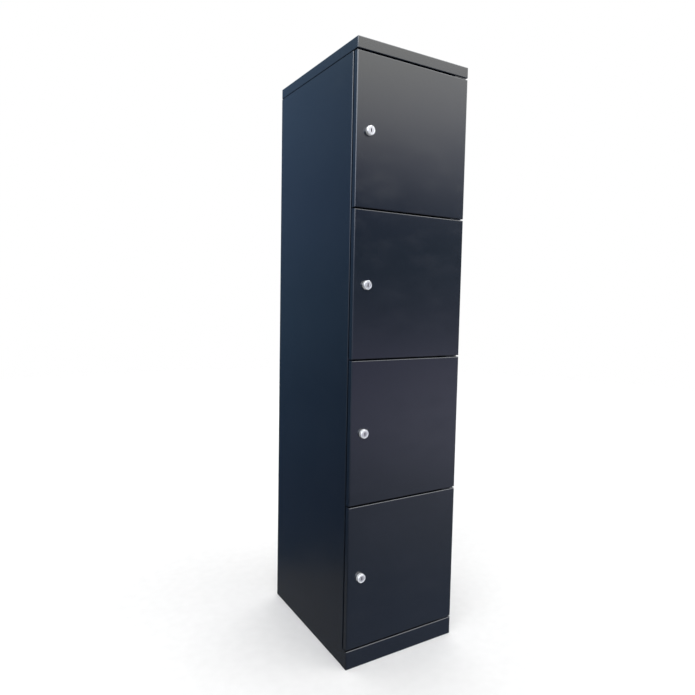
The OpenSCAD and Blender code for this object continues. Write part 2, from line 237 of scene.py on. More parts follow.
class Effects:
    """The effects that the finishes share, each a node group built once."""

    def __init__(self) -> None:
        """Builds the groups."""
        self.orange_peel = self._orange_peel()
        self.sheet_sway = self._sheet_sway()
        self.edge_wear = self._edge_wear()
        self.settled_dust = self._settled_dust()
        self.hairlines = self._hairlines()
        self.drawn_grain = self._drawn_grain()
        self.painted_recess_shade = self._painted_recess_shade()
        self.hand_smudges = self._hand_smudges()

    @staticmethod
    def _open(name: str, *outputs: str, **inputs: float) -> tuple[Graph, dict, bpy.types.Node]:
        """Starts a group that reads coordinates and some values, and puts out values.

        Args:
            name: Its name.
            *outputs: Its outputs' names.
            **inputs: Its values' names and what they are by default.

        Returns:
            The graph, the sockets of what comes in, and the output node.
        """
        tree = bpy.data.node_groups.new(name, "ShaderNodeTree")
        tree.interface.new_socket(name="Vector", in_out="INPUT", socket_type="NodeSocketVector")
        for label, default in inputs.items():
            socket = tree.interface.new_socket(name=label, in_out="INPUT", socket_type="NodeSocketFloat")
            socket.default_value = default
        for label in outputs:
            tree.interface.new_socket(name=label, in_out="OUTPUT", socket_type="NodeSocketFloat")
        graph = Graph(tree)
        given = graph.node("NodeGroupInput").outputs
        return graph, {label: given[label] for label in ("Vector", *inputs)}, graph.node("NodeGroupOutput")

    @staticmethod
    def _close(graph: Graph, out: bpy.types.Node, **values: Socket) -> Tree:
        """Joins a group's results to its outputs.

        Args:
            graph: The group's graph.
            out: Its output node.
            **values: Output names to the sockets that feed them.

        Returns:
            The group.
        """
        for name, value in values.items():
            graph.send(value, out, name)
        return graph.tree

    def _orange_peel(self) -> Tree:
        """The skin of a sprayed and baked powder coat.

        Returns:
            The group, with the coat's height and its tone.
        """
        graph, given, out = self._open("orange_peel", "Height", "Tone", Cells=420.0, Speckle=0.35)
        peel = graph.noise(given["Vector"], given["Cells"], detail=1.5, roughness=0.4)
        fine_to_coarse = 3.4
        fine_cells = graph.math("MULTIPLY", given["Cells"], fine_to_coarse)
        fine = graph.noise(given["Vector"], fine_cells, detail=2.0)
        height = graph.math("ADD", peel, graph.math("MULTIPLY", fine, given["Speckle"]))
        cloud = graph.noise(given["Vector"], 5.0, detail=4.0, roughness=0.6)
        cloud_share = 0.75
        tone = graph.math("ADD", graph.math("MULTIPLY", cloud, cloud_share),
                          graph.math("MULTIPLY", fine, 1.0 - cloud_share), clamp=True)
        return self._close(graph, out, Height=height, Tone=tone)

    def _sheet_sway(self) -> Tree:
        """The slow waves of thin sheet between its folds.

        Returns:
            The group, with the sheet's height.
        """
        graph, given, out = self._open("sheet_sway", "Height", Waves=3.2)
        longer_upright = (1.0, 1.0, 0.55)
        vector = graph.stretched(given["Vector"], longer_upright)
        height = graph.noise(vector, given["Waves"], detail=1.0, roughness=0.3)
        return self._close(graph, out, Height=height)

    def _edge_wear(self) -> Tree:
        """Where hands and bags rub: along the edges, broken up.

        Returns:
            The group, with the wear's mask.
        """
        graph, given, out = self._open("edge_wear", "Mask", Reach=1.2 * MM, Breakup=55.0, Amount=0.5)
        rounded = graph.node("ShaderNodeBevel", {"Radius": given["Reach"]}, samples=4)
        flat = graph.node("ShaderNodeNewGeometry")
        turn = graph.node("ShaderNodeVectorMath", {0: rounded.outputs[0], 1: flat.outputs["Normal"]},
                          operation="DOT_PRODUCT")
        flat_cosine, edge_cosine = 0.995, 0.86
        edge = graph.remap(turn.outputs["Value"], flat_cosine, edge_cosine)
        patches = graph.noise(given["Vector"], given["Breakup"], detail=4.0, roughness=0.65)
        broken = graph.remap(patches, 0.42, 0.66)
        return self._close(graph, out, Mask=graph.shares(edge, broken, given["Amount"]))

    def _settled_dust(self) -> Tree:
        """Dust that lies on what faces up.

        Returns:
            The group, with the dust's mask.
        """
        graph, given, out = self._open("settled_dust", "Mask", Amount=0.2)
        normal = graph.node("ShaderNodeNewGeometry").outputs["Normal"]
        up = graph.node("ShaderNodeSeparateXYZ", {0: normal}).outputs["Z"]
        slides_off, stays = 0.55, 0.98
        facing = graph.remap(up, slides_off, stays, smooth=True)
        drifts_a_metre, grains_a_metre = 14.0, 1600.0
        drift = graph.noise(given["Vector"], drifts_a_metre, detail=6.0, roughness=0.7)
        grains = graph.noise(given["Vector"], grains_a_metre, detail=1.0)
        lie = graph.math("MULTIPLY", graph.remap(drift, 0.3, 0.75), graph.remap(grains, 0.35, 0.7))
        return self._close(graph, out, Mask=graph.shares(facing, lie, given["Amount"]))

    def _hairlines(self) -> Tree:
        """Fine handling scratches that run mostly up and across.

        Returns:
            The group, with the scratches' mask.
        """
        graph, given, out = self._open("hairlines", "Mask", Density=1.0)
        ways = ((0.35, (30.0, 30.0, 900.0)), (-0.5, (800.0, 800.0, 26.0)), (1.2, (40.0, 40.0, 1100.0)))
        total = None
        for angle, scale in ways:
            drawn = graph.stretched(given["Vector"], scale, (angle, angle, 0.0))
            thin = graph.remap(graph.noise(drawn, 1.0, detail=1.0), 0.71, 0.76)
            total = thin if total is None else graph.math("MAXIMUM", total, thin)
        places_a_metre = 9.0
        places = graph.remap(graph.noise(given["Vector"], places_a_metre, detail=2.0), 0.5, 0.68)
        return self._close(graph, out, Mask=graph.shares(total, places, given["Density"]))

    def _drawn_grain(self) -> Tree:
        """The grain that drawing, turning or tumbling leaves in metal.

        Returns:
            The group, with the grain's height and tone.
        """
        graph, given, out = self._open("drawn_grain", "Height", "Tone", Fine=1400.0, Coarse=160.0)
        drawn_out = (0.06, 1.0, 1.0)
        grain = graph.noise(graph.stretched(given["Vector"], drawn_out), given["Fine"], detail=2.0)
        cloud = graph.noise(given["Vector"], given["Coarse"], detail=4.0, roughness=0.6)
        return self._close(graph, out, Height=grain, Tone=cloud)

    def _hand_smudges(self) -> Tree:
        """Dull patches where hands and cloths have passed, each drawn out a little sideways.

        Returns:
            The group, with the patches' mask.
        """
        graph, given, out = self._open("hand_smudges", "Mask", Patches=17.0, Amount=1.0)
        drawn = graph.stretched(given["Vector"], (0.6, 1.0, 1.3), (0.0, 0.3, 0.0))
        patches = graph.noise(drawn, given["Patches"], detail=3.0, roughness=0.55)
        wiped = graph.stretched(given["Vector"], (60.0, 60.0, 420.0), (0.0, 0.25, 0.0))
        streaks = graph.remap(graph.noise(wiped, 1.0, detail=3.0, roughness=0.6), 0.3, 0.7, 0.45, 1.0)
        mask = graph.shares(graph.remap(patches, 0.46, 0.68), streaks, given["Amount"])
        return self._close(graph, out, Mask=mask)

    def _painted_recess_shade(self) -> Tree:
        """Painted shade in narrow slots and grooves: darker where little open air reaches, broken up by
        noise.

        Returns:
            The group, with the painted shade's mask.
        """
        graph, given, out = self._open("painted_recess_shade", "Mask", Reach=4.0 * MM, Amount=1.0)
        open_air = graph.node("ShaderNodeAmbientOcclusion", {"Distance": given["Reach"]}, samples=8)
        clean_air, full_air = 0.93, 0.60
        deep = graph.remap(open_air.outputs["AO"], clean_air, full_air)
        patches = graph.noise(given["Vector"], 700.0, detail=3.0, roughness=0.6)
        held = graph.remap(patches, 0.25, 0.6, 0.7, 1.0)
        return self._close(graph, out, Mask=graph.shares(deep, held, given["Amount"]))


# ---------------------------------------------------------------- finishes


class Finish:
    """What every finish does: opens a material and places the shared effects in it."""

    @staticmethod
    def _open(name: str) -> tuple[bpy.types.Material, Graph, bpy.types.Node, Socket]:
        """Starts a material.

        Args:
            name: Its name.

        Returns:
            The material, its graph, its Principled shader and its Object coordinates.
        """
        material = bpy.data.materials.new(name)
        material.use_nodes = True
        graph = Graph(material.node_tree)
        shader = graph.node("ShaderNodeBsdfPrincipled")
        graph.node("ShaderNodeOutputMaterial", {"Surface": shader.outputs[0]})
        return material, graph, shader, graph.node("ShaderNodeTexCoord").outputs["Object"]

    @staticmethod
    def _place(graph: Graph, group: Tree, vector: Socket, **values: float) -> bpy.types.Node:
        """Places a shared effect.

        Args:
            graph: The material's graph.
            group: The effect.
            vector: The coordinates that it reads.
            **values: Its other inputs.

        Returns:
            The group's node.
        """
        made = graph.node("ShaderNodeGroup", node_tree=group)
        graph.send(vector, made, "Vector")
        for name, value in values.items():
            made.inputs[name].default_value = value
        return made

    @staticmethod
    def _bumps(graph: Graph, shader: bpy.types.Node, heights: list[tuple[object, float]]) -> None:
        """Feeds the shader's normal from several heights.

        Args:
            graph: The material's graph.
            shader: The Principled shader.
            heights: Each height's socket with its depth in metres.
        """
        normal = None
        for height, depth in heights:
            inputs = {"Height": height, "Strength": 1.0, "Distance": depth}
            if normal is not None:
                inputs["Normal"] = normal
            normal = graph.node("ShaderNodeBump", inputs).outputs["Normal"]
        graph.send(normal, shader, "Normal")


@dataclass(frozen=True)
class PowderCoat(Finish):
    """Glossy polyester powder coat on sheet steel."""

    name: str
    deep: Colour = (0.0042, 0.0068, 0.0122)
    light: Colour = (0.0060, 0.0090, 0.0152)
    rubbed: Colour = (0.055, 0.060, 0.070)
    dust: Colour = (0.30, 0.29, 0.27)
    gloss_roughness: float = 0.13
    worn_roughness: float = 0.18
    wear: float = 0.35
    dust_amount: float = 0.16
    scratches: float = 0.6
    scratch_tone: float = 0.25
    scratch_gain: float = 0.12
    smudge_gain: float = 0.09
    dust_gain: float = 0.8
    peel_depth: float = 0.022 * MM
    sway_depth: float = 0.35 * MM

    def material(self, effects: Effects) -> bpy.types.Material:
        """Builds the material.

        Args:
            effects: The shared groups.

        Returns:
            The material.
        """
        material, graph, shader, vector = self._open(self.name)
        peel = self._place(graph, effects.orange_peel, vector)
        sway = self._place(graph, effects.sheet_sway, vector)
        wear = self._place(graph, effects.edge_wear, vector, Amount=self.wear)
        dust = self._place(graph, effects.settled_dust, vector, Amount=self.dust_amount)
        lines = self._place(graph, effects.hairlines, vector, Density=self.scratches)
        smudges = self._place(graph, effects.hand_smudges, vector)
        tone = graph.remap(peel.outputs["Tone"], 0.3, 0.7)
        colour = graph.mix(tone, self.deep, self.light)
        colour = graph.mix(wear.outputs["Mask"], colour, self.rubbed)
        scratched = graph.math("MULTIPLY", lines.outputs["Mask"], self.scratch_tone)
        colour = graph.mix(scratched, colour, self.rubbed)
        colour = graph.mix(dust.outputs["Mask"], colour, self.dust)
        graph.send(colour, shader, "Base Color")
        rough = graph.remap(tone, 0.0, 1.0, self.gloss_roughness, self.worn_roughness)
        for effect, gain in ((lines, self.scratch_gain), (smudges, self.smudge_gain), (dust, self.dust_gain)):
            added = graph.math("MULTIPLY", effect.outputs["Mask"], gain)
            rough = graph.math("ADD", rough, added, clamp=effect is dust)
        graph.send(rough, shader, "Roughness")
        self._bumps(graph, shader, [(sway.outputs["Height"], self.sway_depth),
                                    (peel.outputs["Height"], self.peel_depth)])
        return material


@dataclass(frozen=True)
class PlatedMetal(Finish):
    """A plated steel or die-cast piece."""

    name: str
    bright: Colour
    dull: Colour
    low_roughness: float
    high_roughness: float
    grain_depth: float
    metallic: float = 1.0
    scratches: float = 0.8
    scratch_gain: float = 0.15
    # Painted shade in slots and grooves: its strength, the roughness there and the near-black tone it darkens
    # to.
    recess_shade: float = 0.0
    recess_shade_roughness: float = 0.8
    painted_shade_tone: Colour = (0.012, 0.010, 0.008)
    fine: float = 1400.0
    coarse: float = 160.0

    def material(self, effects: Effects) -> bpy.types.Material:
        """Builds the material.

        Args:
            effects: The shared groups.

        Returns:
            The material.
        """
        material, graph, shader, vector = self._open(self.name)
        grain = self._place(graph, effects.drawn_grain, vector, Fine=self.fine, Coarse=self.coarse)
        wear = self._place(graph, effects.edge_wear, vector, Amount=0.6, Reach=0.5 * MM, Breakup=400.0)
        lines = self._place(graph, effects.hairlines, vector, Density=self.scratches)
        tone = graph.remap(grain.outputs["Tone"], 0.35, 0.68)
        colour = graph.mix(tone, self.bright, self.dull)
        colour = graph.mix(wear.outputs["Mask"], colour, self.bright)
        rough = graph.remap(tone, 0.0, 1.0, self.low_roughness, self.high_roughness)
        scratched = graph.math("MULTIPLY", lines.outputs["Mask"], self.scratch_gain)
        rough = graph.math("ADD", rough, scratched, clamp=True)
        shader.inputs["Metallic"].default_value = self.metallic
        # Painted shade: where little open air reaches, the colour darkens to a near-black tone, and the metal
        # turns rougher and less metallic.
        if self.recess_shade:
            recess_shade = self._place(graph, effects.painted_recess_shade, vector, Amount=self.recess_shade).outputs["Mask"]
            colour = graph.mix(recess_shade, colour, self.painted_shade_tone)
            rough = graph.math("MAXIMUM", rough, graph.math("MULTIPLY", recess_shade, self.recess_shade_roughness))
            clean = graph.math("MULTIPLY", graph.math("SUBTRACT", 1.0, recess_shade), self.metallic)
            graph.send(clean, shader, "Metallic")
        graph.send(colour, shader, "Base Color")
        graph.send(rough, shader, "Roughness")
        self._bumps(graph, shader, [(grain.outputs["Height"], self.grain_depth)])
        return material


@dataclass(frozen=True)
class Moulded(Finish):
    """A moulded plastic or rubber piece."""

    name: str
    base: Colour
    faded: Colour
    low_roughness: float
    high_roughness: float
    dust: Colour = (0.3, 0.29, 0.27)
    skin_cells: float = 900.0
    skin_depth: float = 0.02 * MM

    def material(self, effects: Effects) -> bpy.types.Material:
        """Builds the material.

        Args:
            effects: The shared groups.

        Returns:
            The material.
        """
        material, graph, shader, vector = self._open(self.name)
        skin = self._place(graph, effects.orange_peel, vector, Cells=self.skin_cells, Speckle=0.8)
        wear = self._place(graph, effects.edge_wear, vector, Amount=0.5, Reach=0.6 * MM, Breakup=300.0)
        dust = self._place(graph, effects.settled_dust, vector, Amount=0.3)
        tone = graph.remap(skin.outputs["Tone"], 0.3, 0.7)
        colour = graph.mix(tone, self.base, self.faded)
        colour = graph.mix(wear.outputs["Mask"], colour, self.faded)
        colour = graph.mix(dust.outputs["Mask"], colour, self.dust)
        graph.send(colour, shader, "Base Color")
        rough = graph.remap(tone, 0.0, 1.0, self.low_roughness, self.high_roughness)
        graph.send(rough, shader, "Roughness")
        self._bumps(graph, shader, [(skin.outputs["Height"], self.skin_depth)])
        return material


# ---------------------------------------------------------------- the bench


@dataclass
class Bench:
    """Makes meshes and turns them into finished pieces."""

    materials: dict[Slot | Look, bpy.types.Material]
    weld_r: float = 2.6 * MM
    weld_rise: float = 0.12 * MM
    made: list[str] = field(default_factory=list)

    @staticmethod
    def solid(node: str) -> Shape:
        """A clean copy of a design solid: merged, with one face for each flat.

        Args:
            node: The design's node.

        Returns:
            The copy.
        """
        bm = bmesh.new()
        bm.from_mesh(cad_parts[node].data)
        bmesh.ops.remove_doubles(bm, verts=bm.verts[:], dist=WELD_DISTANCE)
        bmesh.ops.dissolve_limit(bm, angle_limit=FLAT_ANGLE, verts=bm.verts[:], edges=bm.edges[:])
        return bm

    @staticmethod
    def ease_edges(bm: Shape, width: float, segments: int = 2) -> None:
        """Rounds the outward cut edges.

        Args:
            bm: The mesh.
            width: How far the rounding reaches.
            segments: Steps of the rounding.
        """
        edges = [e for e in bm.edges if len(e.link_faces) == 2 and e.is_convex
                 and e.calc_face_angle(0.0) > CUT_EDGE_ANGLE]
        bmesh.ops.bevel(bm, geom=edges, offset=width, offset_type="OFFSET", segments=segments, profile=0.5,
                        affect="EDGES", clamp_overlap=False, material=-1)

    @staticmethod
    def turned(profile: list[tuple[float, float]], steps: int = TURN_STEPS) -> Shape:
        """A turned solid about Z.

        Args:
            profile: Radius and height along the closed outline.
            steps: Steps round the turn.

        Returns:
            The solid.
        """
        bm = bmesh.new()
        ring = [bm.verts.new((radius, 0.0, height)) for radius, height in profile]
        sides = [(i, (i + 1) % len(ring)) for i in range(len(ring))]
        outline = [bm.edges.new((ring[i], ring[j])) for i, j in sides
                   if profile[i][0] > 0 or profile[j][0] > 0]
        bmesh.ops.spin(bm, geom=ring + outline, cent=(0, 0, 0), axis=(0, 0, 1), dvec=(0, 0, 0),
                       angle=math.tau, steps=steps, use_merge=True, use_duplicate=False)
        bmesh.ops.remove_doubles(bm, verts=bm.verts[:], dist=WELD_DISTANCE)
        bmesh.ops.recalc_face_normals(bm, faces=bm.faces[:])
        return bm

    @staticmethod
    def repeat(pattern: Shape, places: list[Matrix]) -> Shape:
        """Copies a shape to several places in one mesh.

        Args:
            pattern: The shape, which is used up.
            places: Where the copies go.

        Returns:
            The mesh of all copies.
        """
        shape = bpy.data.meshes.new("pattern")
        pattern.to_mesh(shape)
        pattern.free()
        bm = bmesh.new()
        for place in places:
            before = len(bm.verts)
            bm.from_mesh(shape)
            bm.verts.ensure_lookup_table()
            bmesh.ops.transform(bm, matrix=place, verts=bm.verts[before:])
        bpy.data.meshes.remove(shape)
        return bm

    def weld_mark(self) -> Shape:
        """One spot-weld mark: a faint raised ring round a flat.

        Returns:
            The mark, standing on Z = 0.
        """
        r, h = self.weld_r, self.weld_rise
        return self.turned([(0.0, -h), (r, -h), (r, 0.0), (0.86 * r, h), (0.72 * r, h), (0.58 * r, 0.3 * h),
                            (0.0, 0.25 * h)], steps=20)

    def piece(self, name: str, bm: Shape, body: str, slot: Slot, *nodes: str,
              look: Look | None = None) -> bpy.types.Object:
        """Finishes a piece: smooth shading, its material, the body it rides on and the nodes it stands for.

        Args:
            name: The piece's name.
            bm: Its mesh, which is used up.
            body: The body it rides on.
            slot: Its material slot.
            *nodes: The design nodes that it stands for.
            look: Its finish, where that differs from the slot's usual one.

        Returns:
            The piece.
        """
        mesh = bpy.data.meshes.new(name)
        for face in bm.faces:
            face.smooth = True
        bm.to_mesh(mesh)
        faces = len(bm.faces)
        bm.free()
        mesh.set_sharp_from_angle(angle=SHARP_ANGLE)
        mesh.materials.append(self.materials[look or slot])
        made = bpy.data.objects.new(name, mesh)
        bpy.context.scene.collection.objects.link(made)
        even = made.modifiers.new("even_normals", "WEIGHTED_NORMAL")
        even.keep_sharp = True
        even.weight = 50
        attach(made, body)
        if nodes:
            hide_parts(*nodes)
        self.made.append(name)
        log.info("%s: %d faces on %s, stands for %s", name, faces, body, ", ".join(nodes) or "no node")
        return made

    def dressed(self, name: str, node: str, body: str, slot: Slot, edge: float,
                look: Look | None = None) -> bpy.types.Object:
        """A piece from a design solid, with its cut edges eased.

        Args:
            name: The piece's name.
            node: The design's node.
            body: The body it rides on.
            slot: Its material slot.
            edge: Width of the eased edges.
            look: Its finish, where that differs from the slot's usual one.

        Returns:
            The piece.
        """
        bm = self.solid(node)
        self.ease_edges(bm, edge)
        return self.piece(name, bm, body, slot, node, look=look)


# ---------------------------------------------------------------- sub-assemblies


@dataclass
class Assembly:
    """A sub-assembly, made at a bench."""

    bench: Bench


@dataclass
class Carcass(Assembly):
    """The welded shell: sides, back, cap, shelves and plinth."""

    sheet_edge: float = 0.2 * MM
    weld_pitch: float = 88 * MM
    weld_inset: float = 12 * MM

    def build(self) -> None:
        """Builds the shell's sheets and their weld marks."""
        sheets = {"side_left": "side_panel_left", "side_right": "side_panel_right",
                  "back_sheet": "back_panel", "cap": "top_cap", "ceiling": "top_panel",
                  "shelf_tray_1": "shelf_1", "shelf_tray_2": "shelf_2", "shelf_tray_3": "shelf_3",
                  "floor_tray": "base_panel", "kick_plinth": "plinth_front"}
        for name, node in sheets.items():
            self.bench.dressed(name, node, Body.CARCASS.of(), Slot.CARCASS, self.sheet_edge)
        self.build_weld_marks()

    def build_weld_marks(self) -> None:
        """Spot-weld marks down the two edges of the back sheet, seen inside and behind."""
        low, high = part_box("back_panel")
        count = int((high.z - low.z) / self.weld_pitch)
        rise = (high.z - low.z) / count
        faces_in = Matrix.Rotation(math.pi / 2, 4, "X")
        places = []
        for x in (low.x + self.weld_inset, high.x - self.weld_inset):
            for step in range(count):
                spot = Vector((x, low.y, low.z + (step + 0.5) * rise))
                places.append(Matrix.Translation(spot) @ faces_in)
        marks = self.bench.repeat(self.bench.weld_mark(), places)
        self.bench.piece("back_weld_marks", marks, Body.CARCASS.of(), Slot.CARCASS)


@dataclass
class HingeSet(Assembly):
    """The five hinge plates with their pins, washers and rivets."""

    plate_edge: float = 0.25 * MM
    pin_edge: float = 0.12 * MM
    washer_edge: float = 0.03 * MM
    rivet_edge: float = 0.08 * MM

    def build(self) -> None:
        """Builds the hinge pieces."""
        body = Body.CARCASS.of()
        for level in ("top", "1", "2", "3", "base"):
            name, node = f"pivot_plate_{level}", f"hinge_plate_{level}"
            self.bench.dressed(name, node, body, Slot.CARCASS, self.plate_edge)
        self.bench.dressed("pivot_pins", "hinge_pins", body, Slot.ZINC, self.pin_edge)
        self.bench.dressed("pivot_washers", "hinge_washers", body, Slot.NYLON, self.washer_edge)
        self.bench.dressed("plate_rivets", "hinge_rivets", body, Slot.ZINC, self.rivet_edge)


@dataclass
class Fixings(Assembly):
    """The cap screws and the rubber door buffers."""

    buffer_r: float = 4 * MM
    buffer_h: float = 5.7 * MM
    stem_r: float = 2.2 * MM
    barb_r: float = 3 * MM
    barb_h: float = 2 * MM
    sheet: float = 1 * MM
    from_edge: float = 9.5 * MM
    from_end: float = 34 * MM
    screw_edge: float = 0.08 * MM

    def build(self) -> None:
        """Builds the screws and the buffers."""
        body = Body.CARCASS.of()
        self.bench.dressed("cap_fixing_screws", "cap_screws", body, Slot.ZINC, self.screw_edge)
        stile_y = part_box("side_panel_left")[0].y
        out = Matrix.Rotation(math.pi / 2, 4, "X")
        places = []
        for number in range(1, TIERS + 1):
            low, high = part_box(f"door_panel_{number}")
            for z in (low.z + self.from_end, high.z - self.from_end):
                places.append(Matrix.Translation((low.x + self.from_edge, stile_y, z)) @ out)
        buffers = self.bench.repeat(self.buffer(), places)
        self.bench.piece("rubber_buffers", buffers, body, Slot.RUBBER, "door_buffers")

    def buffer(self) -> Shape:
        """One push-in buffer: a barbed stem and a crowned head.

        Returns:
            The buffer, its head standing up from Z = 0.
        """
        r, h, stem, barb = self.buffer_r, self.buffer_h, self.stem_r, self.barb_r
        back = -self.sheet
        tip = back - self.barb_h
        held = [(0.0, tip), (stem, tip), (barb, back), (stem, back), (stem, 0.0)]
        crown = [(r, 0.0), (r, 0.1 * h), (0.96 * r, 0.5 * h), (0.96 * r, 0.78 * h), (0.88 * r, 0.9 * h),
                 (0.72 * r, 0.97 * h), (0.45 * r, h), (0.0, h)]
        return self.bench.turned(held + crown, steps=32)


@dataclass
class Door(Assembly):
    """One door: its folded pan, the channel behind the skin and the pivot bushes."""

    number: int
    skin_edge: float = 0.22 * MM
    channel_edge: float = 0.12 * MM
    bush_edge: float = 0.1 * MM
    weld_pitch: float = 60 * MM
    wing_centre: float = 28 * MM
    wing_t: float = 0.8 * MM

    def build(self) -> None:
        """Builds the door's pieces."""
        n, body = self.number, Body.DOOR.of(self.number)
        self.bench.dressed(f"door_pan_{n}", f"door_panel_{n}", body, Slot.DOOR, self.skin_edge)
        self.bench.dressed(f"door_channel_{n}", f"door_stiffener_{n}", body, Slot.DOOR, self.channel_edge)
        self.bench.dressed(f"door_bushes_{n}", f"pivot_bushes_{n}", body, Slot.NYLON, self.bush_edge)
        self.build_weld_marks(body)

    def build_weld_marks(self, body: str) -> None:
        """Spot-weld marks on the channel's two wings.

        Args:
            body: The door's body.
        """
        low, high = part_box(f"door_stiffener_{self.number}")
        count = int((high.z - low.z) / self.weld_pitch)
        rise = (high.z - low.z) / count
        wing_y = low.y + self.wing_t
        back = Matrix.Rotation(-math.pi / 2, 4, "X")
        places = [Matrix.Translation((x, wing_y, low.z + (step + 0.5) * rise)) @ back
                  for x in (-self.wing_centre, self.wing_centre) for step in range(count)]
        marks = self.bench.repeat(self.bench.weld_mark(), places)
        self.bench.piece(f"channel_weld_marks_{self.number}", marks, body, Slot.DOOR)


@dataclass
class CamLock(Assembly):
    """One cam lock: head, threaded barrel, nut, turning plug, cam and cam nut."""

    number: int
    head_r: float = 12.5 * MM
    head_h: float = 10 * MM
    rim_round: float = 1.2 * MM
    ring_in: float = 9.1 * MM
    ring_out: float = 10.8 * MM
    ring_depth: float = 0.8 * MM
    seat_r: float = 8.05 * MM
    seat_depth: float = 2 * MM
    bore_r: float = 7.05 * MM
    barrel_r: float = 9.5 * MM
    barrel_flat: float = 16 * MM
    barrel_len: float = 23 * MM
    thread_pitch: float = 1 * MM
    thread_depth: float = 0.5 * MM
    thread_end: float = 1.5 * MM
    plain_neck: float = 0.6 * MM
    turned_edge: float = 0.15 * MM
    nut_edge: float = 0.3 * MM
    plug_edge: float = 0.15 * MM
    cam_edge: float = 0.22 * MM
    cam_nut_edge: float = 0.25 * MM
    key_w: float = 3 * MM
    wafer_t: float = 0.5 * MM
    wafer_h: float = 3.4 * MM
    wafer_lap: float = 0.4 * MM
    wafer_edge: float = 0.12 * MM
    wafer_depth: float = 3.4 * MM
    wafer_gap: float = 1.4 * MM
    wafer_sways: tuple[float, float] = (-0.8 * MM, 0.7 * MM)
    wafers: int = 5

    def build(self) -> None:
        """Builds the lock's pieces."""
        n, door, lock = self.number, Body.DOOR.of(self.number), Body.LOCK.of(self.number)
        housing = self.bench.repeat(self.head(), [self.place()])
        barrel = self.bench.repeat(self.barrel(), [self.place()])
        self.bench.piece(f"lock_head_{n}", housing, door, Slot.CHROME, f"lock_housing_{n}")
        self.bench.piece(f"lock_barrel_{n}", barrel, door, Slot.CHROME)
        self.bench.dressed(f"barrel_nut_{n}", f"lock_nut_{n}", door, Slot.ZINC, self.nut_edge)
        self.bench.dressed(f"key_plug_{n}", f"lock_plug_{n}", lock, Slot.CHROME, self.plug_edge, Look.PLUG)
        self.bench.dressed(f"cam_arm_{n}", f"lock_cam_{n}", lock, Slot.ZINC, self.cam_edge)
        self.bench.dressed(f"cam_fixing_nut_{n}", f"cam_nut_{n}", lock, Slot.ZINC, self.cam_nut_edge)
        self.bench.piece(f"key_wafers_{n}", self.key_wafers(), lock, Slot.ZINC, look=Look.WAFER)

    def place(self) -> Matrix:
        """Where the lock stands: Z out of the door's face, on the lock's axis.

        Returns:
            The matrix from the lock's own axes to the frame's.
        """
        low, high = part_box(f"lock_housing_{self.number}")
        face_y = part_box(f"door_panel_{self.number}")[0].y
        spot = Vector(((low.x + high.x) / 2, face_y, (low.z + high.z) / 2))
        return Matrix.Translation(spot) @ Matrix.Rotation(math.pi / 2, 4, "X")

    def head(self) -> Shape:
        """The head: a turned drum with a rounded rim, a ring groove and the plug's seat.

        Returns:
            The head about Z.
        """
        r, h, b, ease = self.head_r, self.head_h, self.rim_round, self.turned_edge
        angles = [math.radians(15 * step) for step in range(7)]
        rim = [(r - b + b * math.cos(a), h - b + b * math.sin(a)) for a in angles]
        foot = [(self.bore_r, 0.0), (r - ease, 0.0), (r, ease)]
        low = h - self.ring_depth
        outer, inner, seat = self.ring_out, self.ring_in, self.seat_r
        groove = [(outer + ease, h), (outer, h - ease), (outer, low + ease), (outer - ease, low),
                  (inner + ease, low), (inner, low + ease), (inner, h - ease), (inner - ease, h)]
        well = [(seat + ease, h), (seat, h - ease), (seat, h - self.seat_depth),
                (self.bore_r, h - self.seat_depth)]
        return self.bench.turned(foot + rim + groove + well, steps=72)

    def barrel(self) -> Shape:
        """The threaded barrel with its two flats.

        Returns:
            The barrel about Z, behind the head.
        """
        r, root = self.barrel_r, self.barrel_r - self.thread_depth
        profile = [(self.bore_r, -self.barrel_len), (root, -self.barrel_len)]
        turns = int((self.barrel_len - self.thread_end) / self.thread_pitch)
        for turn in range(turns):
            z = -self.barrel_len + turn * self.thread_pitch
            for radius, share in ((root, 0.12), (r, 0.44), (r, 0.56), (root, 0.88)):
                profile.append((radius, z + share * self.thread_pitch))
        profile += [(r, -self.plain_neck), (r, 0.0), (self.bore_r, 0.0)]
        bm = self.bench.turned(profile)
        for side in (-1, 1):
            cut = bmesh.ops.bisect_plane(bm, geom=bm.verts[:] + bm.edges[:] + bm.faces[:], dist=CUT_DISTANCE,
                                         plane_co=(side * self.barrel_flat / 2, 0, 0), plane_no=(side, 0, 0),
                                         clear_outer=True)
            rim = [e for e in cut["geom_cut"] if isinstance(e, bmesh.types.BMEdge)]
            bmesh.ops.edgeloop_fill(bm, edges=rim)
        bmesh.ops.recalc_face_normals(bm, faces=bm.faces[:])
        return bm

    def key_wafers(self) -> Shape:
        """The thin wafers that stand across the keyway.

        Returns:
            The wafers in the frame.
        """
        bm = bmesh.new()
        size = Matrix.Diagonal((self.key_w + self.wafer_lap, self.wafer_h, self.wafer_t, 1.0))
        bmesh.ops.create_cube(bm, size=1.0, matrix=size)
        bmesh.ops.bevel(bm, geom=bm.edges[:], offset=self.wafer_edge, offset_type="OFFSET", segments=2,
                        profile=0.5, affect="EDGES", clamp_overlap=True, material=-1)
        base = self.place()
        places = []
        for step in range(self.wafers):
            z = self.head_h - self.wafer_depth - step * self.wafer_gap
            places.append(base @ Matrix.Translation((0, self.wafer_sways[step % 2], z)))
        return self.bench.repeat(bm, places)


# ---------------------------------------------------------------- studio


Stops = tuple[tuple[float, Colour], ...]


@dataclass(frozen=True)
class SkyRamp:
    """How bright the glossy surroundings are with height in one direction.

    A stop is the degrees above the level and the colour there. The ramp fades in between two cosines of the
    angle from the direction's middle.
    """

    name: str
    way: tuple[float, float, float]
    fade_out: float
    fade_in: float
    stops: Stops


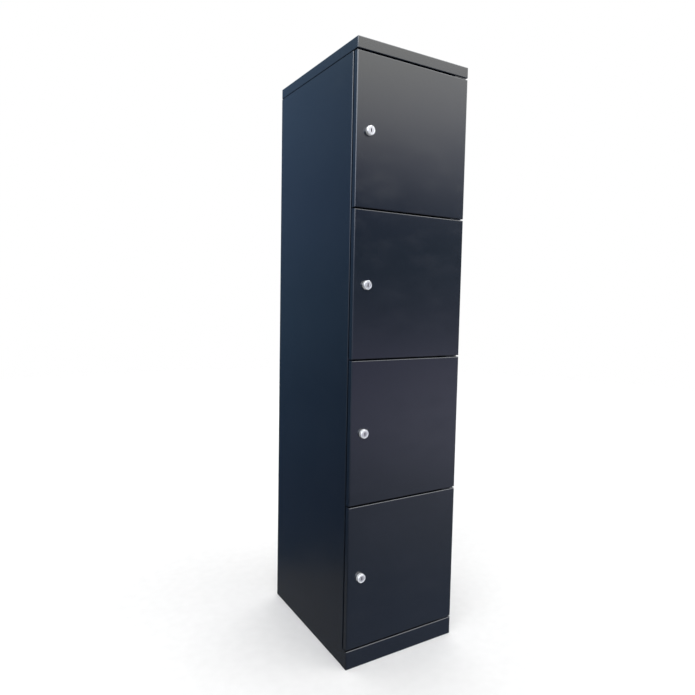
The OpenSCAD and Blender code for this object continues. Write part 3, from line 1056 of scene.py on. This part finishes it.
@dataclass(frozen=True)
class SoftSun:
    """A very wide sun that lights only the matt part of surfaces.

    Azimuth 0 is in front, and a negative one is to the left.
    """

    name: str
    azimuth: float
    elevation: float
    strength: float
    spread: float


FRONT_ABOVE: Stops = (
    (24, (4.0, 4.0, 3.75)), (36, (7.2, 7.3, 7.4)), (60, (8.4, 8.5, 8.8)), (90, (4.5, 4.5, 4.6)))


@dataclass
class Studio:
    """The floor, the soft surroundings and the lamps."""

    brightest: float = 10.0
    floor_r: float = 9.0
    floor_solid_r: float = 1.8
    floor_clear_r: float = 7.2
    floor_specks: float = 30.0
    backdrop: float = 1.0
    floor_tone: Colour = (0.90, 0.90, 0.90)
    front: SkyRamp = SkyRamp("front", (0.64, -0.77, 0.0), 0.2, 0.8, (
        (-90, (0.28, 0.31, 0.38)), (-40, (0.30, 0.34, 0.44)), (-28, (0.30, 0.36, 0.50)),
        (-20, (0.53, 0.57, 0.69)), (-12, (1.05, 1.05, 1.36)), (-7, (0.94, 0.92, 1.24)),
        (-2, (0.42, 0.47, 0.63)), (4, (0.27, 0.37, 0.50)), (8, (0.42, 0.50, 0.70)),
        (13, (1.36, 1.42, 1.68)), (18, (2.95, 2.95, 3.05)), *FRONT_ABOVE))
    middle: SkyRamp = SkyRamp("middle", (0.0, -1.0, 0.0), 0.755, 0.866, (
        (-90, (0.20, 0.23, 0.30)), (-40, (0.22, 0.26, 0.36)), (-28, (0.19, 0.25, 0.39)),
        (-20, (0.32, 0.36, 0.48)), (-12, (0.75, 0.75, 1.05)), (-7, (0.67, 0.65, 0.97)),
        (-2, (0.33, 0.39, 0.55)), (4, (0.18, 0.28, 0.41)), (8, (0.10, 0.18, 0.38)),
        (13, (0.62, 0.68, 0.94)), (18, (2.50, 2.50, 2.60)), *FRONT_ABOVE))
    side: SkyRamp = SkyRamp("side", (-0.527, 0.85, 0.0), 0.2, 0.75, (
        (-90, (0.17, 0.17, 0.18)), (-26, (0.175, 0.18, 0.19)), (-24.6, (0.06, 0.09, 0.14)),
        (-20, (0.055, 0.09, 0.16)), (-11, (0.07, 0.13, 0.23)), (-1, (0.115, 0.21, 0.35)),
        (8.5, (0.16, 0.27, 0.47)), (18, (0.22, 0.36, 0.59)), (30, (0.5, 0.7, 0.9)),
        (60, (2.0, 2.1, 2.3)), (90, (3.5, 3.5, 3.6))))
    left: SkyRamp = SkyRamp("left", (-0.87, -0.5, 0.0), 0.45, 0.85, (
        (-90, (0.05, 0.05, 0.06)), (-30, (0.06, 0.07, 0.10)), (-20, (0.22, 0.26, 0.34)),
        (-10, (0.65, 0.80, 1.05)), (-2, (0.9, 1.05, 1.4)), (4, (1.35, 1.55, 2.05)),
        (14, (5.2, 5.8, 7.1)), (21, (8.6, 9.2, 10.0)), (36, (8.6, 9.0, 9.6)),
        (60, (5.0, 5.2, 5.6)), (90, (3.5, 3.5, 3.6))))
    elsewhere: Stops = (
        (-90, (0.75, 0.75, 0.76)), (-20, (0.60, 0.61, 0.63)), (-3, (0.40, 0.43, 0.48)),
        (5, (0.42, 0.46, 0.54)), (14, (0.72, 0.80, 0.92)), (32, (1.5, 1.6, 1.7)),
        (60, (3.0, 3.0, 3.1)), (90, (3.5, 3.5, 3.6)))
    suns: tuple[SoftSun, ...] = (
        SoftSun("soft_overhead", 0.0, 88.0, 2.1, 85.0),
        SoftSun("soft_front_left", -48.0, 36.0, 1.05, 60.0),
        SoftSun("soft_front_right", 40.0, 38.0, 0.85, 60.0),
        SoftSun("soft_back_left", -150.0, 34.0, 0.55, 60.0),
        SoftSun("soft_back_right", 140.0, 34.0, 0.8, 60.0))

    def build(self) -> None:
        """Builds the floor, the surroundings and the lamps."""
        self.build_floor()
        self.build_world()
        self.build_lamps()
        bpy.context.scene.view_settings.view_transform = "Standard"

    def build_floor(self) -> None:
        """A round pale floor that fades out at its rim."""
        bm = bmesh.new()
        bmesh.ops.create_circle(bm, cap_ends=True, segments=96, radius=self.floor_r)
        mesh = bpy.data.meshes.new("studio_floor")
        bm.to_mesh(mesh)
        bm.free()
        floor = bpy.data.objects.new("studio_floor", mesh)
        bpy.context.scene.collection.objects.link(floor)
        floor.visible_glossy = False
        material = bpy.data.materials.new("pale_floor")
        material.use_nodes = True
        graph = Graph(material.node_tree)
        vector = graph.node("ShaderNodeTexCoord").outputs["Object"]
        away = graph.node("ShaderNodeVectorMath", {0: vector}, operation="LENGTH").outputs["Value"]
        fade = graph.remap(away, self.floor_solid_r, self.floor_clear_r, smooth=True)
        speck = graph.remap(graph.noise(vector, self.floor_specks, detail=5.0), 0.3, 0.7, 0.97, 1.0)
        grey = graph.node("ShaderNodeCombineColor", {0: speck, 1: speck, 2: speck}).outputs[0]
        tone = graph.mix(1.0, self.floor_tone, grey, blend="MULTIPLY")
        shade = graph.node("ShaderNodeBsdfDiffuse", {"Color": tone})
        clear = graph.node("ShaderNodeBsdfTransparent")
        both = graph.node("ShaderNodeMixShader", {0: fade, 1: shade.outputs[0], 2: clear.outputs[0]})
        graph.node("ShaderNodeOutputMaterial", {"Surface": both.outputs[0]})
        mesh.materials.append(material)

    def build_world(self) -> None:
        """Soft surroundings that differ in front, to the sides and elsewhere, with a white backdrop."""
        world = bpy.data.worlds.new("studio")
        world.use_nodes = True
        world.cycles_visibility.diffuse = False
        bpy.context.scene.world = world
        graph = Graph(world.node_tree)
        way = graph.node("ShaderNodeTexCoord").outputs["Generated"]
        height = graph.node("ShaderNodeSeparateXYZ", {0: way}).outputs["Z"]
        along = graph.remap(height, -1.0, 1.0)
        colour = self.ramp(graph, along, self.elsewhere, "elsewhere")
        for sky in (self.front, self.middle, self.side, self.left):
            facing = graph.node("ShaderNodeVectorMath", {0: way, 1: sky.way}, operation="DOT_PRODUCT")
            share = graph.remap(facing.outputs["Value"], sky.fade_out, sky.fade_in, smooth=True)
            colour = graph.mix(share, colour, self.ramp(graph, along, sky.stops, sky.name))
        lit = graph.node("ShaderNodeBackground", {"Color": colour, "Strength": self.brightest})
        seen = graph.node("ShaderNodeBackground", {"Color": (1, 1, 1, 1), "Strength": self.backdrop})
        camera_ray = graph.node("ShaderNodeLightPath").outputs["Is Camera Ray"]
        both = graph.node("ShaderNodeMixShader", {0: camera_ray, 1: lit.outputs[0], 2: seen.outputs[0]})
        graph.node("ShaderNodeOutputWorld", {"Surface": both.outputs[0]})

    def ramp(self, graph: Graph, along: Socket, stops: Stops, name: str) -> Socket:
        """A colour ramp from the stops of one direction.

        Args:
            graph: The world's graph.
            along: The sine of the elevation, carried to 0 straight down and 1 straight up.
            stops: The stops.
            name: The direction's name.

        Returns:
            The colour's socket, as a share of the brightest.
        """
        node = graph.node("ShaderNodeValToRGB", {0: along}, label=name)
        node.color_ramp.interpolation = "EASE"
        elements = node.color_ramp.elements
        while len(elements) > 1:
            elements.remove(elements[-1])
        for index, (degrees, colour) in enumerate(stops):
            place = (math.sin(math.radians(degrees)) + 1) / 2
            stop = elements[0] if index == 0 else elements.new(place)
            stop.position = place
            stop.color = (*(channel / self.brightest for channel in colour), 1.0)
        return node.outputs["Color"]

    def build_lamps(self) -> None:
        """The soft suns round the locker."""
        for sun in self.suns:
            data = bpy.data.lights.new(sun.name, "SUN")
            data.energy = sun.strength
            data.angle = math.radians(sun.spread)
            lamp = bpy.data.objects.new(sun.name, data)
            bpy.context.scene.collection.objects.link(lamp)
            lamp.visible_glossy = False
            turn = Matrix.Rotation(math.radians(sun.azimuth), 4, "Z")
            tip = Matrix.Rotation(math.radians(90.0 - sun.elevation), 4, "X")
            lamp.matrix_world = turn @ tip


@dataclass(frozen=True)
class Camera:
    """The camera, standing in front to the left, level with the second door."""

    place: tuple[float, float, float] = (-0.9857, -1.6239, 1.0607)
    turn: float = math.radians(32.18)
    tilt: float = math.radians(-4.344)
    roll: float = math.radians(1.284)
    lens: float = 30.2
    shift: tuple[float, float] = (-0.0374, -0.0071)

    def build(self) -> None:
        """Sets up the scene's camera."""
        data = bpy.data.cameras.new("camera")
        data.lens = self.lens
        data.sensor_width = 36.0
        data.shift_x, data.shift_y = self.shift
        camera = bpy.data.objects.new("camera", data)
        bpy.context.scene.collection.objects.link(camera)
        upright = Matrix.Rotation(-self.turn, 4, "Z") @ Matrix.Rotation(math.pi / 2 + self.tilt, 4, "X")
        camera.matrix_world = Matrix.Translation(self.place) @ upright @ Matrix.Rotation(self.roll, 4, "Z")
        bpy.context.scene.camera = camera


def finishes(effects: Effects) -> dict[Slot | Look, bpy.types.Material]:
    """The material of each slot and look.

    Args:
        effects: The shared groups.

    Returns:
        Slot or look to material.
    """
    made = {
        Slot.CARCASS: PowderCoat("carcass_powder_coat"),
        Slot.DOOR: PowderCoat("door_powder_coat"),
        Slot.ZINC: PlatedMetal(
            "bright_zinc", bright=(0.62, 0.63, 0.64), dull=(0.46, 0.47, 0.48),
            low_roughness=0.28, high_roughness=0.46, grain_depth=0.004 * MM),
        # The head's ring groove and plug seat are darkened with painted shade.
        Slot.CHROME: PlatedMetal(
            "satin_chrome", bright=(0.93, 0.94, 0.95), dull=(0.86, 0.87, 0.89),
            low_roughness=0.20, high_roughness=0.30, grain_depth=0.001 * MM, metallic=0.38, recess_shade=0.4),
        Slot.NYLON: Moulded(
            "natural_nylon", base=(0.74, 0.73, 0.68), faded=(0.82, 0.81, 0.77),
            low_roughness=0.38, high_roughness=0.55),
        Slot.RUBBER: Moulded(
            "black_rubber", base=(0.012, 0.012, 0.013), faded=(0.03, 0.03, 0.03),
            low_roughness=0.55, high_roughness=0.8),
        # The plug's keyway is darkened with painted shade.
        Look.PLUG: PlatedMetal(
            "plug_nickel", bright=(0.47, 0.46, 0.48), dull=(0.36, 0.36, 0.38),
            low_roughness=0.36, high_roughness=0.50, grain_depth=0.002 * MM, metallic=0.45, recess_shade=1.0),
        # The wafers' near-black colour is painted shade for the dark keyway, and their recess darkening is
        # painted shade too.
        Look.WAFER: PlatedMetal(
            "keyway_shade_brass", bright=(0.050, 0.040, 0.022), dull=(0.025, 0.020, 0.012),
            low_roughness=0.4, high_roughness=0.6, grain_depth=0.003 * MM, metallic=0.5, recess_shade=1.0),
    }
    return {slot: finish.material(effects) for slot, finish in made.items()}


def main() -> None:
    """Builds the studio and every piece of the locker."""
    logging.basicConfig(level=logging.INFO, format="%(name)s %(message)s")
    Camera().build()
    Studio().build()
    bench = Bench(finishes(Effects()))
    Carcass(bench).build()
    HingeSet(bench).build()
    Fixings(bench).build()
    for number in range(1, TIERS + 1):
        Door(bench, number).build()
        CamLock(bench, number).build()
    log.info("%d pieces made", len(bench.made))


if __name__ == "__main__":
    main()
